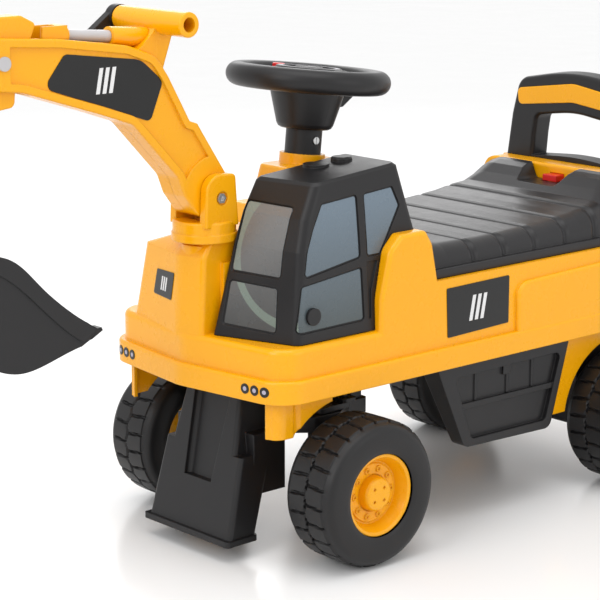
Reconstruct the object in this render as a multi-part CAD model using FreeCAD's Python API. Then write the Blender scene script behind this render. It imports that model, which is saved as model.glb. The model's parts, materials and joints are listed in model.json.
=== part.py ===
"""Ride-on toy digger: a foot-to-floor child's vehicle with a hand-worked digger arm.

Axes: -Y is the front of the digger, +X is the driver's left (the cab side), +Z is up.
The model is drawn with y = 0 at the front axle and z = 0 at the ground, and every piece is then
moved along Y so that the origin lies on the ground under the middle of the whole object.
"""
import FreeCAD, Part
import math
import os

V = FreeCAD.Vector
X_AXIS = V(1, 0, 0)
Y_AXIS = V(0, 1, 0)
Z_AXIS = V(0, 0, 1)

# ---- driving dimensions (millimetres, degrees) ----
wheelbase = 342.0
wheel_radius = 62.0
tyre_width = 56.0
wheel_outer_x = 145.7
rim_radius = 35.0
axle_radius = 4.0

wall = 3.0                  # moulded wall thickness
gap = 0.3                   # clearance between pieces that move past each other
running = 0.05              # radial clearance of a running fit

body_half = 109.0           # body half width above the rim strip
strip_out = 5.0             # how far the rim strip stands proud
rim_low, rim_high = 144.0, 163.0
deck_z = 188.0
prow_y, corner_y = -91.5, -76.0
rear_y = 427.0
rear_deck_y, rear_deck_z = 367.0, 277.0
seat_ledge_z = 221.0
seat_front_y, seat_rear_y = 98.0, 365.0

turret_y = -66.5
turret_radius = 26.2
pedestal_z = 262.0
boom_pivot_z = 299.4
boom_half = 15.0
fork_half = 9.5

steer_tilt = 6.0            # the steering column leans back towards the rider
wheel_centre = V(0, 48.3, 386.0)
steering_wheel_radius = 60.0
grip_radius = 10.0
column_radius = 15.5
crank_reach = 26.0
kingpin_x = 70.0

dipper_pivot = V(0, -268.0, 423.0)
bucket_pivot = V(0, -322.0, 300.0)
bucket_half = 44.0
grip_axis = V(0, -114.7, 444.0)
rod_axis_point = V(0, -161.0, 435.3)
rod_tilt = 4.5              # the cylinder's axis drops towards the rear

mid_length = 48.0           # middle of the whole object, behind the front axle


# ---- helpers ----
def unit(vector):
    return vector * (1.0 / vector.Length)


def rounded(points, radii):
    """Closed wire through the points, with each corner rounded by its own radius (0 is sharp)."""
    if not isinstance(radii, (list, tuple)):
        radii = [radii] * len(points)
    corners = []
    for i, corner in enumerate(points):
        before = unit(points[i - 1] - corner)
        after = unit(points[(i + 1) % len(points)] - corner)
        half = before.getAngle(after) / 2
        radius = radii[i]
        setback = radius / math.tan(half)
        middle = corner + unit(before + after) * (radius / math.sin(half) - radius) if radius else corner
        corners.append((corner + before * setback, middle, corner + after * setback, radius))
    edges = []
    for i, (start, middle, end, radius) in enumerate(corners):
        if radius:
            edges.append(Part.Arc(start, middle, end).toShape())
        following = corners[(i + 1) % len(corners)][0]
        if (following - end).Length > 1e-6:
            edges.append(Part.LineSegment(end, following).toShape())
    return Part.Wire(edges)


def side_wire(points, radii, x=0.0):
    """Wire in a plane across X, from (y, z) points."""
    return rounded([V(x, y, z) for y, z in points], radii)


def plan_wire(points, radii, z):
    """Wire in a level plane, from (x, y) points."""
    return rounded([V(x, y, z) for x, y in points], radii)


def side_prism(points, radii, x0, x1):
    return Part.Face(side_wire(points, radii, x0)).extrude(V(x1 - x0, 0, 0))


def plan_prism(points, radii, z0, z1):
    return Part.Face(plan_wire(points, radii, z0)).extrude(V(0, 0, z1 - z0))


def front_prism(points, radii, y0, y1):
    wire = rounded([V(x, y0, z) for x, z in points], radii)
    return Part.Face(wire).extrude(V(0, y1 - y0, 0))


def block(x0, x1, y0, y1, z0, z1):
    return Part.makeBox(x1 - x0, y1 - y0, z1 - z0, V(x0, y0, z0))


def rod(start, direction, radius, length):
    return Part.makeCylinder(radius, length, start, direction)


def cross_rod(y, z, radius, x0, x1):
    return rod(V(x0, y, z), X_AXIS, radius, x1 - x0)


def ring(start, direction, outer, inner, length):
    return rod(start, direction, outer, length).cut(rod(start, direction, inner, length))


def loft(wires):
    return Part.makeLoft(wires, True, True)


def soften(shape, radius, chosen):
    """Fillet the edges whose centre satisfies chosen."""
    return shape.makeFillet(radius, [edge for edge in shape.Edges if chosen(edge.CenterOfMass)])


def mirrored(shape):
    return shape.mirror(V(0, 0, 0), X_AXIS)


def both_sides(shape):
    return shape.fuse(mirrored(shape))


def fused(shapes):
    result = shapes[0].multiFuse(shapes[1:]) if len(shapes) > 1 else shapes[0]
    return result.removeSplitter()


def steering_frame(shape):
    """Move a piece drawn about +Z with the wheel centre at the origin into the tilted column's frame."""
    placed = shape.copy()
    placed.rotate(V(0, 0, 0), X_AXIS, -steer_tilt)
    placed.translate(wheel_centre)
    return placed


steer_axis = V(0, math.sin(math.radians(steer_tilt)), math.cos(math.radians(steer_tilt)))
rod_axis = V(0, -math.cos(math.radians(rod_tilt)), math.sin(math.radians(rod_tilt)))


def on_column(z):
    """Point of the steering axis at height z."""
    return wheel_centre + steer_axis * ((z - wheel_centre.z) / steer_axis.z)


def on_rod(y):
    """Point of the arm cylinder's axis at station y."""
    return rod_axis_point + rod_axis * ((y - rod_axis_point.y) / rod_axis.y)


# ---- body ----
def plan_points(out):
    """Plan outline of the body, moved outwards by out: a shallow pointed prow and a square tail."""
    return [(0, prow_y - out), (body_half + out, corner_y - out), (body_half + out, rear_y + out),
            (-body_half - out, rear_y + out), (-body_half - out, corner_y - out)]


def deck_form(inset, bottom):
    corner = 24.0 - inset
    slab_radii = [40, corner, corner, corner, corner]
    strip_radii = [40, corner + strip_out, corner, corner, corner + strip_out]
    slab = plan_prism(plan_points(-inset), slab_radii, bottom, deck_z - inset)
    strip = plan_prism(plan_points(strip_out - inset), strip_radii, bottom, rim_high - inset)
    if inset == 0:
        slab = soften(slab, 5.0, lambda c: c.z > deck_z - 0.1)
        strip = soften(strip, 2.5, lambda c: c.z > rim_high - 0.1)
    return [slab, strip]


def flank_form(inset):
    """Hump behind the cab, seat ledge and rear deck, as one side profile."""
    ledge, deck = seat_ledge_z - inset, rear_deck_z - inset
    profile = [(30 + inset, 165), (31 + inset, 214), (41 + inset, 254 - inset), (54 + inset, 266 - inset),
               (83 - inset, 266 - inset), (91 - inset, 254 - inset), (seat_front_y - inset, ledge),
               (rear_deck_y + inset, ledge), (rear_deck_y + inset, deck),
               (rear_y - 8 - inset, deck), (rear_y - inset, 230), (rear_y - inset, 165)]
    radii = [0, 30, 14, 6, 5, 14, 0, 0, 3, 12, 20, 0]
    half = body_half - inset
    form = side_prism(profile, radii, -half, half)
    if inset == 0:
        form = soften(form, 4.0, lambda c: abs(abs(c.x) - half) < 0.1 and c.z > 240 and c.y < 100)
    behind = block(-120, 120, rear_deck_y - 4, rear_y + 1, 100, 300)
    return [form.cut(behind.cut(rear_crown(inset)))]


def rear_crown(inset):
    """Front view of the rear deck, with its shoulders rounded off."""
    half, top, shoulder = body_half - inset, rear_deck_z - inset, 90.0 - inset
    points = [(-half, 90), (half, 90), (half, 238), (shoulder, top), (-shoulder, top), (-half, 238)]
    radii = [0, 0, 20, 16 - inset, 16 - inset, 20]
    return front_prism(points, radii, rear_deck_y - 5, rear_y + 2)


def pedestal_form(inset):
    """Box under the turret: it tapers upwards behind the pointed prow, and its roof slopes to the edges."""
    right, back = 20.0 - inset, 60.0

    def section(half, corner, prow, z):
        points = [(-half + inset, corner + inset), (-8, prow + inset), (right, prow + 3.5 + inset),
                  (right, back), (-half + inset, back)]
        return plan_wire(points, [10, 30, 4, 0, 0], z)

    eaves = section(72.0, -73.0, -87.5, pedestal_z - 11 - inset)
    side = loft([section(88.0, -75.0, -90.5, deck_z - 6), eaves])
    roof = loft([eaves, section(40.0, -62.0, -81.0, pedestal_z - inset)])
    if inset:
        return [side, roof]
    return [side, roof, block(-20, 24, -66, back, deck_z - 6, 246)]


def tower_form(inset):
    """Steering tower beside the cab, up to the column's collar."""

    def section(left, front, right, back, corner, z):
        points = [(left + inset, front + inset), (right - inset, front + inset),
                  (right - inset, back - inset), (left + inset, back - inset)]
        return plan_wire(points, corner, z)

    form = loft([section(-34, -24, 24, 97, 10, deck_z - 6), section(-18, 6, 23, 76, 8, 316.0 - inset)])
    if inset == 0:
        form = soften(form, 3.0, lambda c: c.z > 315.9)
    return [form]


def flank_panel_form(inset):
    """Raised panel on each flank behind the side badge."""
    profile = [(194, rim_high - 5), (192, 206), (rear_y - 10, 212), (rear_y - 10, rim_high - 5)]
    raised = side_prism(profile, [0, 14, 10, 0], 90.0, body_half + 4.0 - inset)
    if inset == 0:
        raised = soften(raised, 3.0, lambda c: c.x > body_half + 3.9)
    return [raised, mirrored(raised)]


def body_form(inset, bottom):
    pieces = deck_form(inset, bottom) + flank_form(inset) + pedestal_form(inset) + tower_form(inset)
    if inset == 0:
        pieces += flank_panel_form(inset)
    return fused(pieces)


screw_posts = [  # distance out, station, height of the top
    (88.0, -40.0, deck_z - 2), (99.0, 150.0, seat_ledge_z - 2), (91.0, 356.0, seat_ledge_z - 2),
    (91.0, 398.0, rear_deck_z - 2)]


def post_places():
    """Axis, in plan, and top height of each screw post, on both sides."""
    return [(side * x, y, top) for x, y, top in screw_posts for side in (1, -1)]


def body_shell():
    shell = body_form(0.0, rim_low).cut(body_form(wall, rim_low - 5))
    post_low = rim_low + wall + gap
    posts = [rod(V(x, y, post_low), Z_AXIS, 5.5, top - post_low) for x, y, top in post_places()]
    collar = rod(on_column(300.0), steer_axis, column_radius + 4, 23.0)
    bearing = rod(V(0, turret_y, pedestal_z - 14), Z_AXIS, 19.0, 12.0)
    shell = fused([shell, collar, bearing] + posts + hinge_ear_solids())
    shell = shell.cut(rod(on_column(290.0), steer_axis, column_radius + running, 60.0))
    shell = shell.cut(rod(V(0, turret_y, pedestal_z - 20), Z_AXIS, 12.0 + running, 40.0))
    shell = shell.cut(block(-88, 88, 112, 345, seat_ledge_z - 20, seat_ledge_z + 20))
    latch_slot = block(-8.5 - gap, 8.5 + gap, rear_deck_y - 6, rear_deck_y + 5, 263 - gap, 269 + gap)
    shell = shell.cut(latch_slot)
    shell = shell.cut(cross_rod(hinge_y, hinge_z, hinge_pin_radius, -80, 80))
    for x, y, top in post_places():
        shell = shell.cut(rod(V(x, y, rim_low), Z_AXIS, 1.6, 20.0))
    return shell.cut(cab_form(-gap))


def wheel_arch(y, radius):
    return cross_rod(y, wheel_radius, radius, 84.0, 120.0)


def skirt(points, radii, z0, inner_points, inner_radii):
    outer = plan_prism(points, radii, z0, rim_low)
    return outer.cut(plan_prism(inner_points, inner_radii, z0 - 1, rim_low + 10))


def floor_pan():
    """Underside: floor plate, corner skirts ahead of the front wheels, and the skirt over the rear axle."""
    clear = wall + 1.0
    plate = plan_prism(plan_points(-clear), [40, 20, 20, 20, 20], rim_low, rim_low + wall)
    front = skirt([(0, -87), (98, -74), (98, -13), (-98, -13), (-98, -74)], [20, 12, 0, 0, 12], 112.0,
                  [(0, -84), (95, -71), (95, -16), (-95, -16), (-95, -71)], [20, 9, 0, 0, 9])
    front = front.cut(block(-86, 86, -100, 0, 100, 200))
    rear = skirt([(-100, 252), (100, 252), (100, 417), (-100, 417)], [3, 3, 12, 12], 73.0,
                 [(-97, 255), (97, 255), (97, 414), (-97, 414)], [1, 1, 9, 9])
    flutes = [rod(V(x, y, 100), Z_AXIS, 5.0, rim_low - 100) for x, y in ((101, -52), (92, -78.5))]
    pan = fused([plate, front, rear]).cut(both_sides(Part.makeCompound(flutes)))
    for y, room in ((0.0, 12.0), (wheelbase, 8.5)):
        pan = pan.cut(both_sides(wheel_arch(y, wheel_radius + room)))
    rear_gate = block(-84 - gap, 84 + gap, 250, 420, 60, 100)
    pan = pan.cut(rear_gate)
    pan = pan.cut(block(-84.5, 84.5, 114, 343, rim_low - 5, rim_low + 20))
    pan = pan.cut(rod(on_column(130.0), steer_axis, axle_radius + running, 40.0))
    for x, y, top in post_places():
        pan = pan.cut(rod(V(x, y, rim_low - 5), Z_AXIS, 2.1, 20.0))
    return pan


def body_screws():
    screws = []
    for x, y, top in post_places():
        head = rod(V(x, y, rim_low - 2.5), Z_AXIS, 3.8, 2.5)
        shank = rod(V(x, y, rim_low - 2.5), Z_AXIS, 1.55, 18.0)
        socket = block(x - 0.5, x + 0.5, y - 2.4, y + 2.4, rim_low - 2.6, rim_low - 1.2)
        screws.append(head.fuse(shank).cut(socket))
    return Part.makeCompound(screws)


# ---- cab ----
cab_sections = [  # height, inner x, inner front y, outer x, outer front y, rear y
    (deck_z + 0.4, 24.4, -80.0, 102.0, -54.0, 60.0),
    (262.0, 25.0, -57.5, 97.5, -47.0, 83.0),
    (288.0, 25.6, -48.0, 95.0, -40.0, 75.5),
    (312.0, 26.5, -35.0, 92.0, -27.0, 66.0)]
roof_slope = 0.09
roof_edge = 2.5             # how far the roof's edge is rounded over


def cab_wire(section, inset, slope=0.0, drop=0.0):
    z, inner, inner_front, outer, outer_front, rear = section
    z -= drop
    corners = [(inner + inset, inner_front + inset), (outer - inset, outer_front + inset),
               (outer - inset, rear - inset), (inner + inset, rear - inset)]
    points = [V(x, y, z + slope * (y - inner_front)) for x, y in corners]
    return rounded(points, [3.0, 8.0, 6.0, 3.0])


def cab_form(inset):
    """The cab's outer form moved inwards by inset: leaning front, roof that dips to the front."""
    low, middle, upper, high = cab_sections
    z, inner, inner_front, outer, outer_front, rear = high
    shoulder = (z + roof_edge, inner, inner_front, outer, outer_front, rear)
    body = [loft([cab_wire(low, inset), cab_wire(middle, inset)]),
            loft([cab_wire(middle, inset), cab_wire(upper, inset)]),
            loft([cab_wire(upper, inset), cab_wire(high, inset, roof_slope, inset)]),
            loft([cab_wire(high, inset, roof_slope, inset),
                  cab_wire(shoulder, inset + roof_edge, roof_slope, inset)])]
    return fused(body)


def window_prism(points, radius, grow):
    """Pane outline on the cab's near side, as (y, z), grown outwards by grow."""
    wire = side_wire(points, radius, 85.0)
    if grow:
        wire = wire.makeOffset2D(grow)
    return Part.Face(wire).extrude(V(30, 0, 0))


def front_window_prism(points, radius, grow):
    wire = rounded([V(x, -110, z) for x, z in points], radius)
    if grow:
        wire = wire.makeOffset2D(grow)
    return Part.Face(wire).extrude(V(0, 100, 0))


side_panes = [[(-21, 298), (15.5, 301), (16, 251.5), (-43, 242.5), (-39.5, 262), (-31.5, 280)],
              [(-46, 234.6), (17, 241.5), (18, 199.6), (-52.3, 198.4)],
              [(25.5, 301), (56, 303.5), (63, 288), (39, 251.5), (26, 251.5)]]
front_panes = [[(29, 295.5), (77, 295), (78, 240.5), (30.5, 241.5)],
               [(31.5, 232.5), (76.5, 231), (80, 196.5), (33, 199)]]
blank_recess = [(24.5, 246), (36, 246), (28, 222), (27, 199), (24.5, 199)]
pane_radius = 2.0
side_radii = [[2, 2, 2, 2, 30, 30], 2, 2]
pane_recess = 1.4
pane_thickness = 0.6


def cab_pane_prisms(grow):
    front = [front_window_prism(points, pane_radius, grow) for points in front_panes]
    side = [window_prism(points, radii, grow) for points, radii in zip(side_panes, side_radii)]
    return front, side


def cab_shell():
    shell = cab_form(0.0)
    hollow = cab_form(wall)
    front, side = cab_pane_prisms(1.5)
    recessed = cab_form(pane_recess)
    for prism in front + side + [side_prism(blank_recess, 0, 85.0, 115.0)]:
        shell = shell.cut(prism.cut(recessed))
    return fused([shell.cut(hollow), roof_knob(), roof_pad()]).cut(door_knob())


def roof_knob():
    """Round raised knob on the roof."""
    knob = rod(V(45, 45, 316), Z_AXIS, 9.0, 9.0)
    return soften(knob, 2.0, lambda c: c.z > 324.9)


def roof_pad():
    """Low round pad ahead of the knob."""
    return rod(V(42, 19, 314), Z_AXIS, 11.0, 7.2)


def pane_solids(prisms):
    outer = cab_form(pane_recess - pane_thickness)
    inner = cab_form(pane_recess)
    return [prism.common(outer).cut(inner) for prism in prisms]


def cab_front_window():
    return Part.makeCompound(pane_solids(cab_pane_prisms(0)[0]))


def cab_side_windows():
    return Part.makeCompound([pane.cut(door_knob()) for pane in pane_solids(cab_pane_prisms(0)[1])])


def door_knob():
    """Round black knob on the door pane."""
    return rod(V(99.4, -37.2, 210.0), X_AXIS, 7.0, 3.4)


# ---- body trim ----
def headlamp_stickers():
    """Three small round lamps at each end of the front rim strip."""
    lamps = []
    strip = deck_form(0.0, rim_low)[1]
    for x in (74.0, 84.0, 94.0):
        y = prow_y + (corner_y - prow_y) * x / body_half - strip_out
        normal = unit(V(corner_y - prow_y, -body_half, 0))
        skin = strip.copy()
        skin.translate(normal * 0.5)
        lamps.append(rod(V(x, y, 154.0) - normal * 8.0, normal, 4.2, 16.0).common(skin).cut(strip))
    return Part.makeCompound(lamps + [mirrored(lamp) for lamp in lamps])


def front_badge():
    """Square plate on the front of the pedestal."""
    plate = front_prism([(-50, 211.5), (-19, 211), (-14.5, 234.5), (-45, 233)], 1.5, -100, -80)
    shifted = body_form(0.0, rim_low)
    skin = shifted.copy()
    skin.translate(V(0, -0.6, 0))
    return plate.common(skin).cut(shifted)


def side_badge():
    """Plate on the flank under the front of the seat."""
    plate = side_prism([(109, 170), (184, 172), (184, 214), (107, 213)], 1.5, 100.0, body_half + 5)
    body = body_form(0.0, rim_low)
    skin = body.copy()
    skin.translate(V(0.6, 0, 0))
    return plate.common(skin).cut(body)


def front_stop_blade():
    """Black anti-tip stop between the front wheels: a leaning tapered housing with a thin foot."""
    lean = 0.245
    face_low_y, face_low_z = -87.0, 18.0
    step_z, top_z = 86.0, rim_low - gap

    def face_y(z):
        return face_low_y + lean * (z - face_low_z)

    def section(z, half, depth, inset=0.0, corner=4.0):
        front = face_y(z) + inset
        points = [(-half, front), (half, front), (half, front + depth), (-half, front + depth)]
        return plan_wire(points, corner, z)

    lower = loft([section(face_low_z, 53.5, 29.0), section(step_z, 49.5, 34.0)])
    upper = loft([section(step_z, 41.0, 40.0), section(top_z, 34.0, 44.0)])
    foot = plan_prism([(-56, -91), (56, -91), (55, -57), (-55, -57)], 3.0, 14.5, 19.5)
    wings = block(-50, 50, face_y(60) + 20, face_y(60) + 54, 52.0, beam_low - gap)
    recess = loft([section(60.0, 17.5, 10.0, -4.0, 4.0), section(top_z, 24.0, 10.0, -4.0, 4.0)])
    hollow = loft([section(8.0, 48.0, 16.5, 9.0, 3.0), section(78.0, 44.0, 21.0, 9.0, 3.0)])
    return fused([lower, upper, foot, wings]).cut(hollow).cut(recess)


def side_step():
    """Framed black box between the wheels, with a rib across its recess."""
    outline = [(97, rim_low - gap), (264, rim_low - gap), (241, 66), (131, 69)]
    outer = side_prism(outline, [2, 2, 9, 9], 84.0, 110.0)
    hollow = side_prism([(103, 141), (258, 141), (237, 70), (135, 73)], [2, 2, 6, 6], 83.0, 103.0)
    recess_outline = [(118, 133), (254, 134), (235, 74), (140, 75)]
    recess = side_prism(recess_outline, 5.0, 105.5, 112.0)
    rib = side_prism([(110, 103), (250, 102), (250, 107), (110, 108)], 0, 104.0, 108.5)
    uprights = [block(104.0, 106.6, y, y + 3, 108, 134) for y in (146, 186, 218)]
    notch = block(104.0, 107.6, 181, 191, 125, 134)
    inlay = fused([rib, notch] + uprights).common(side_prism(recess_outline, 5.0, 100, 112))
    step = fused([outer.cut(hollow).cut(recess), inlay])
    slanted_back = front_prism([(80, 60), (97, 60), (88.5, 145), (80, 145)], 0, 90, 270)
    rear_rebate = block(80, 100 + gap, 252 - gap, 270, 90, 150)
    screw_clearance = rod(V(99, 150, rim_low - 10), Z_AXIS, 4.1, 12.0)
    return step.cut(slanted_back).cut(rear_rebate).cut(screw_clearance)


beam_low, beam_top = 104.0, 117.0
kingpin_radius = 6.0


def steering_beam():
    """Black beam under the floor with a bore for a kingpin at each end."""
    right = [(79, 14), (60, 40), (60, 63)]
    outline = [(-66, -30), (66, -30), (79, -14)] + right + [(-x, y) for x, y in right[::-1]] + [(-79, -14)]
    beam = plan_prism(outline, 4.0, beam_low, beam_top)
    hollow = plan_prism([(-56, 14), (56, 14), (56, 59), (-56, 59)], 3.0, beam_low - 1, beam_top - wall)
    front_saddle = both_sides(block(43, 57, -28, -18, beam_top - 1, rim_low - gap))
    rear_saddle = both_sides(block(43, 57, 46, 58, beam_top - 1, rim_low - gap))
    beam = fused([beam.cut(hollow), front_saddle, rear_saddle])
    beam = beam.cut(block(-41.5, 41.5, -31, -11.5, 90, 150))
    for side in (1, -1):
        beam = beam.cut(rod(V(side * kingpin_x, 0, beam_low - 5), Z_AXIS, kingpin_radius + running, 30.0))
    return beam


def rear_axle_housing():
    """Black trough under the tail; the axle passes through bosses in its side walls."""
    side = [(300, rim_low - gap), (384, rim_low - gap), (372, 46), (312, 46)]
    outer = side_prism(side, [0, 0, 8, 8], -84.0, 84.0)
    inner = side_prism([(303, 160), (381, 160), (369, 49), (315, 49)], [0, 0, 5, 5], -81.0, 81.0)
    bosses = both_sides(cross_rod(wheelbase, wheel_radius, 9.0, 70.0, 87.0))
    housing = fused([outer.cut(inner), bosses])
    return housing.cut(cross_rod(wheelbase, wheel_radius, axle_radius + 0.02, -100, 100))


def rear_axle():
    """Steel axle; each rear wheel turns on one of its ends."""
    return cross_rod(wheelbase, wheel_radius, axle_radius, -wheel_outer_x + 8, wheel_outer_x - 8)


def storage_bin():
    """Open tray under the seat lid; its flange rests on the body's ledge."""
    flange = plan_prism([(-92, 110.6), (92, 110.6), (92, 349), (-92, 349)], 6.0, seat_ledge_z, seat_ledge_z + 2)
    tray = plan_prism([(-84, 116), (84, 116), (84, 341), (-84, 341)], 8.0, rim_low + 4, seat_ledge_z + 2)
    cavity = plan_prism([(-82, 118), (82, 118), (82, 339), (-82, 339)], 6.0, rim_low + 6, seat_ledge_z + 10)
    return fused([flange, tray]).cut(cavity)


# ---- rear handle ----
handle_y0, handle_y1 = 387.0, 411.0
handle_base_z = rear_deck_z


def handle_arch():
    """Front outline of the arch, from its two feet over a crowned bar."""
    foot = handle_base_z - 12
    return [(-87, foot), (-79, 318), (-70, 353), (0, 366), (70, 353), (79, 318), (87, foot)]


def push_handle():
    """Arch on two legs that stand on the rear deck, joined at the bottom by a low crowned plate."""
    outer = front_prism(handle_arch(), [0, 40, 16, 200, 16, 40, 0], handle_y0, handle_y1)
    opening = front_prism([(-58, 200), (-49, 300), (-46, 319), (0, 325), (46, 319), (49, 300), (58, 200)],
                          [0, 60, 7, 120, 7, 60, 0], handle_y0 - 5, handle_y1 + 5)
    arch = outer.cut(opening)
    arch = soften(arch, 4.0, lambda c: abs(c.y - handle_y0) < 0.1 or abs(c.y - handle_y1) < 0.1)
    plate = front_prism([(-60, 272), (60, 272), (60, 278.5), (0, 283), (-60, 278.5)], [0, 0, 0, 300, 0],
                        handle_y0 + 1, handle_y1 - 3)
    pocket = front_prism(insert_outline(), [5, 40, 5, 5, 40, 5], handle_y0 - 1, handle_y0 + 2)
    return fused([arch, plate]).cut(flank_form(0.0)[0]).cut(pocket)


def insert_outline():
    return [(-71, 343), (0, 353), (71, 343), (69, 327), (0, 335), (-69, 327)]


def handle_insert():
    """Yellow strip let into the front face of the arch."""
    strip = front_prism(insert_outline(), [5, 40, 5, 5, 40, 5], handle_y0 - 0.8, handle_y0 + 2)
    return soften(strip, 0.6, lambda c: c.y < handle_y0 - 0.7)


# ---- seat ----
seat_half = 104.0
lid_top = [  # station, height of the top
    (93.0, 249.5), (104.0, 249.5), (120.0, 247.0), (170.0, 246.0), (210.0, 246.8), (250.0, 248.8),
    (290.0, 252.0), (328.0, 258.0), (340.0, 266.0), (350.0, 273.5), (358.0, 276.5), (seat_rear_y, 277.5)]
groove_profile = [(-5.0, 0.0), (-2.2, 0.9), (-1.0, 1.8), (1.0, 1.8), (2.2, 0.9), (5.0, 0.0)]
hump_y = 320.0              # behind this station the seat's shoulders draw in
groove_stations = [151.5, 190.0, 229.0, 269.5, 309.0]
hinge_y, hinge_z = 101.3, 242.5
hinge_pin_radius = 2.0
lid_knuckles = [(-69.8, -50.2), (50.2, 69.8)]
hinge_ears = [(-76.3, -70.3), (-49.7, -43.7), (43.7, 49.7), (70.3, 76.3)]


def lid_height(y):
    """Height of the seat's top at a station, between the listed ones."""
    for (y0, top0), (y1, top1) in zip(lid_top, lid_top[1:]):
        if y <= y1:
            return top0 + (top1 - top0) * (y - y0) / (y1 - y0)
    return lid_top[-1][1]


def lid_section(y, top, inset, dip):
    """Cross-section of the seat, whose shoulders draw in over the hump; dip sinks its top and sides."""
    half, low = 99.0 - inset - dip, seat_ledge_z + 3 - 2 * inset
    drawn = 9.0 * min(1.0, max(0.0, (y - hump_y) / 25.0))
    shoulder = half - 3 - drawn
    corner = 17.0 + drawn - inset
    height = top - inset - dip
    points = [V(-half, y, low), V(half, y, low), V(shoulder, y, height), V(-shoulder, y, height)]
    return rounded(points, [0, 0, corner, corner])


def lid_stations(ribbed):
    """Station, height and dip of every cross-section; the ribs are left between narrow dips."""
    stations = [(y, top, 0.0) for y, top in lid_top]
    if ribbed:
        for groove in groove_stations:
            for offset, dip in groove_profile:
                stations.append((groove + offset, lid_height(groove + offset), dip))
    return sorted(stations)


def lid_form(inset, ribbed=False):
    """Outer form of the seat: a saddle whose front edge is round about the hinge axis."""
    sections = [lid_section(y, top, inset, dip) for y, top, dip in lid_stations(ribbed)]
    form = Part.makeLoft(sections, True, True)
    front = [(98.9 + inset, 205), (98.9 + inset, 231.5), (93.8 + inset, 242.4), (93.8 + inset, 249.5 - inset),
             (110, 249.5 - inset), (110, 300), (seat_rear_y - inset, 300), (seat_rear_y - inset, 205)]
    return form.common(side_prism(front, [0, 0, 0, 7.0 - inset, 0, 0, 0, 0], -120, 120))


def hump_notch(grow):
    """Notch through the hump behind the rider, in front of the latch; grown outwards by grow."""
    bottom = 263.0 - grow
    outline = [(-36 - grow, 290), (-24 - grow, bottom), (24 + grow, bottom), (36 + grow, 290)]
    return front_prism(outline, [0, 5, 5, 0], 328 - grow, 380)


def seat_lid():
    """Ribbed seat that hinges up over the storage bin."""
    rim_plan = [(-seat_half, 99.2), (seat_half, 99.2), (seat_half, seat_rear_y), (-seat_half, seat_rear_y)]
    rim = plan_prism(rim_plan, [2, 2, 6, 6], seat_ledge_z + gap, seat_ledge_z + 8)
    rim = soften(rim, 1.5, lambda c: c.z > seat_ledge_z + 7.9)
    room_plan = [(-96, 102.2), (96, 102.2), (96, 362), (-96, 362)]
    rim = rim.cut(plan_prism(room_plan, 3.0, seat_ledge_z - 1, seat_ledge_z + 20))
    shell = lid_form(0.0, True).cut(lid_form(wall).cut(hump_notch(wall)))
    room = plan_prism(room_plan, 3.0, seat_ledge_z - 1, seat_ledge_z + 6)
    lid = fused([rim, shell]).cut(room)
    knuckles = [cross_rod(hinge_y, hinge_z, 4.6, low, high) for low, high in lid_knuckles]
    lid = fused([lid] + knuckles)
    lid = lid.cut(hump_notch(0.0)).cut(block(-10, 10, 354, 380, 215, 290))
    for low, high in hinge_ears:
        slot = cross_rod(hinge_y, hinge_z, 5.3, low - gap, high + gap)
        slot = slot.fuse(block(low - gap, high + gap, 85, hinge_y + 4.6, 215, hinge_z + 2.2))
        lid = lid.cut(slot)
    return lid.cut(cross_rod(hinge_y, hinge_z, hinge_pin_radius + running, -90, 90))


def hinge_ear_solids():
    """Ears on the body's ledge that hold the lid's pin."""
    ears = []
    for low, high in hinge_ears:
        ear = cross_rod(hinge_y, hinge_z, 4.5, low, high).fuse(
            block(low, high, hinge_y - 4, hinge_y + 4, seat_ledge_z - 2, hinge_z))
        ears.append(ear)
    return ears


def lid_hinge_pin():
    return cross_rod(hinge_y, hinge_z, hinge_pin_radius, -76.3, 76.3)


def seat_latch():
    """Red tongue in the slot behind the seat; the rider pushes it back to free the lid."""
    tongue = block(-8.5, 8.5, 356, 384, 263, 269)
    tongue = soften(tongue, 1.0, lambda c: c.z > 268.9)
    stop = block(-13, 13, rear_deck_y + 3.3, rear_deck_y + 6.3, 258, 271.5)
    return tongue.fuse(stop)


# ---- digger arm ----
collar_z = pedestal_z + 1.2
collar_top = collar_z + 17.0
ear_inner, ear_outer, ear_half = 15.6, 23.6, 17.5
pivot_bolt_radius = 4.0


def turret():
    """Turntable with a stepped collar and two ears for the boom's pivot."""
    base = V(0, turret_y, collar_z)
    lower = soften(rod(base, Z_AXIS, turret_radius + 1.0, 7.0), 1.0, lambda c: c.z > collar_z + 6.9)
    upper = rod(base, Z_AXIS, turret_radius, collar_top - collar_z)
    upper = soften(upper, 2.0, lambda c: c.z > collar_top - 0.1)
    spigot = rod(V(0, turret_y, pedestal_z - 20), Z_AXIS, 12.0, collar_z - pedestal_z + 20.5)
    ear_profile = [(turret_y - ear_half, collar_top - 4), (turret_y - ear_half + 2, boom_pivot_z + 21),
                   (turret_y + ear_half - 3, boom_pivot_z + 19), (turret_y + ear_half, collar_top - 4)]
    ear = side_prism(ear_profile, [0, 15, 4, 0], ear_inner, ear_outer)
    ear = soften(ear, 1.5, lambda c: c.x > ear_outer - 0.1 and c.z > collar_top)
    body = fused([lower, upper, spigot, ear, mirrored(ear)])
    saddle = cross_rod(turret_y, boom_pivot_z, 21.5, -ear_inner, ear_inner)
    body = body.cut(saddle)
    recess = cross_rod(turret_y, boom_pivot_z, 5.8, ear_outer - 2.0, ear_outer + 1)
    body = body.cut(both_sides(recess))
    body = body.cut(rod(V(0, turret_y, pedestal_z - 30), Z_AXIS, 3.0, 22.1))
    return body.cut(cross_rod(turret_y, boom_pivot_z, pivot_bolt_radius + 0.02, -40, 40))


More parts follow.
